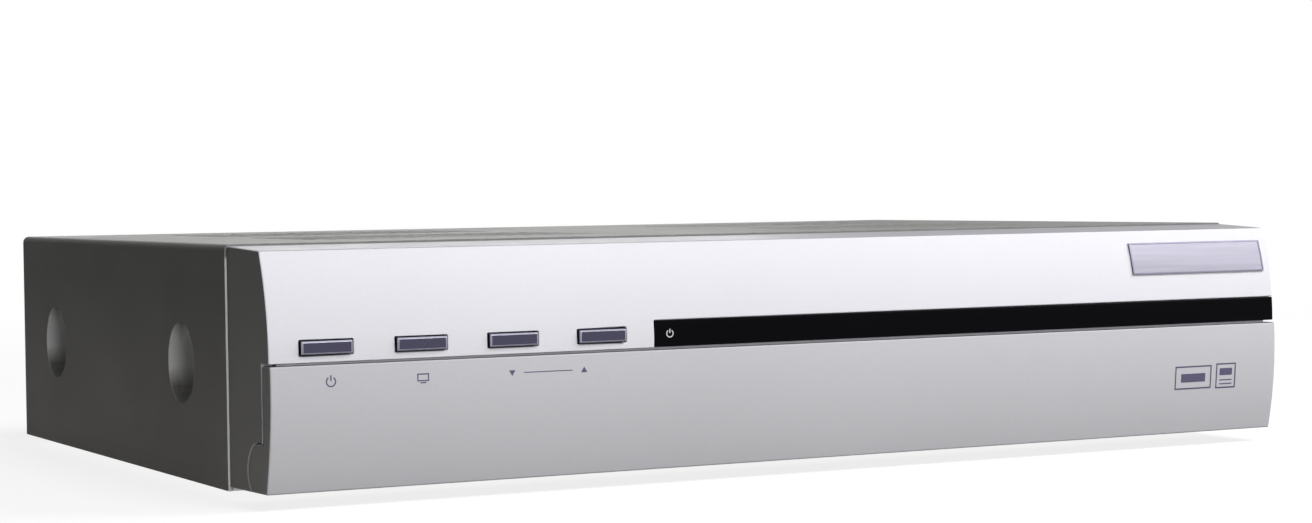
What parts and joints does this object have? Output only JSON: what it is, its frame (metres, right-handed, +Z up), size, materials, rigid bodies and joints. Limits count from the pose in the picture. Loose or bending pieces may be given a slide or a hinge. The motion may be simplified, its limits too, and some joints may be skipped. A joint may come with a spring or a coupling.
{
  "type": "satellite tv receiver",
  "caption": "Low set-top satellite receiver with a silver front, push buttons, a dark display strip, a drop-down flap and rear sockets.",
  "frame": {"origin": "middle of the footprint, at the undersides of the feet", "axes": "+X to the right seen from the front, +Y to the rear, +Z up"},
  "size_m": [0.28, 0.2006, 0.057],
  "materials": {
    "cover_paint": "silver-grey paint, fine satin",
    "zinc_sheet": "bare zinc-plated sheet",
    "foot_rubber": "plain black rubber",
    "bezel_silver": "silver paint on a smooth moulding",
    "flap_silver": "silver paint on a smooth moulding",
    "window_black": "glossy dark strip",
    "key_chrome": "dark plated plastic",
    "black_moulding": "fine matte black",
    "board_green": "printed circuit board with green resist",
    "display_face": "dark red display face",
    "lamp_lens": "clear red resin",
    "eye_resin": "dark resin",
    "support_nylon": "natural nylon",
    "chip_resin": "black resin",
    "heatsink_aluminium": "extruded, bare",
    "capacitor_sleeve": "dark blue sleeve",
    "tinplate": "bright tinplate",
    "nickel": "nickel plating",
    "video_yellow": "coloured plastic",
    "audio_red": "coloured plastic",
    "audio_white": "coloured plastic",
    "rocker_black": "semi-gloss black",
    "transformer_core": "taped coil on a ferrite core",
    "fuse_glass": "glass tube with metal caps",
    "strap_grey": "grey ribbon",
    "socket_white": "natural nylon"
  },
  "bodies": {
    "receiver": {"top_cover": "cover_paint", "chassis": "zinc_sheet", "rubber_feet": "foot_rubber", "front_bezel": "bezel_silver", "display_window": "window_black", "front_board": "board_green", "tact_switches": "black_moulding", "led_display": "display_face", "standby_lamp": "lamp_lens", "infrared_receiver": "eye_resin", "main_board": "board_green", "power_board": "board_green", "board_supports": "support_nylon", "decoder_chip": "chip_resin", "chip_heatsink": "heatsink_aluminium", "memory_chips": "chip_resin", "capacitors": "capacitor_sleeve", "card_reader": "black_moulding", "tuner_can": "tinplate", "f_connectors": "nickel", "serial_port": "nickel", "serial_posts": "nickel", "scart_sockets": "black_moulding", "phono_block": "black_moulding", "video_jack_ring": "video_yellow", "right_jack_ring": "audio_red", "left_jack_ring": "audio_white", "jack_barrels": "nickel", "mains_inlet": "black_moulding", "switch_housing": "black_moulding", "transformer": "transformer_core", "power_heatsink": "heatsink_aluminium", "mains_fuse": "fuse_glass", "ribbon_cable": "strap_grey", "power_harness": "strap_grey", "wire_sockets": "socket_white", "cover_screws": "zinc_sheet"},
    "flap": {"flap": "flap_silver"},
    "power_rocker": {"power_rocker": "rocker_black"},
    "standby_key": {"standby_button": "key_chrome", "standby_plunger": "black_moulding"},
    "mode_key": {"mode_button": "key_chrome", "mode_plunger": "black_moulding"},
    "channel_down_key": {"channel_down_button": "key_chrome", "channel_down_plunger": "black_moulding"},
    "channel_up_key": {"channel_up_button": "key_chrome", "channel_up_plunger": "black_moulding"}
  },
  "joints": [
    {"name": "flap_hinge", "type": "hinge", "parent": "receiver", "child": "flap", "pos_m": [0, -0.09365, 0.0081], "axis": [1, 0, 0], "range_deg": [0, 85]},
    {"name": "standby_press", "type": "slide", "parent": "receiver", "child": "standby_key", "axis": [0, 1, 0], "range_m": [0, 0.0005], "stiffness_N_per_m": 800, "springref_m": -0.0003},
    {"name": "mode_press", "type": "slide", "parent": "receiver", "child": "mode_key", "axis": [0, 1, 0], "range_m": [0, 0.0005], "stiffness_N_per_m": 800, "springref_m": -0.0003},
    {"name": "channel_down_press", "type": "slide", "parent": "receiver", "child": "channel_down_key", "axis": [0, 1, 0], "range_m": [0, 0.0005], "stiffness_N_per_m": 800, "springref_m": -0.0003},
    {"name": "channel_up_press", "type": "slide", "parent": "receiver", "child": "channel_up_key", "axis": [0, 1, 0], "range_m": [0, 0.0005], "stiffness_N_per_m": 800, "springref_m": -0.0003},
    {"name": "rocker_tip", "type": "hinge", "parent": "receiver", "child": "power_rocker", "pos_m": [-0.094, 0.08935, 0.0285], "axis": [1, 0, 0], "range_deg": [-24, 0]}
  ]
}
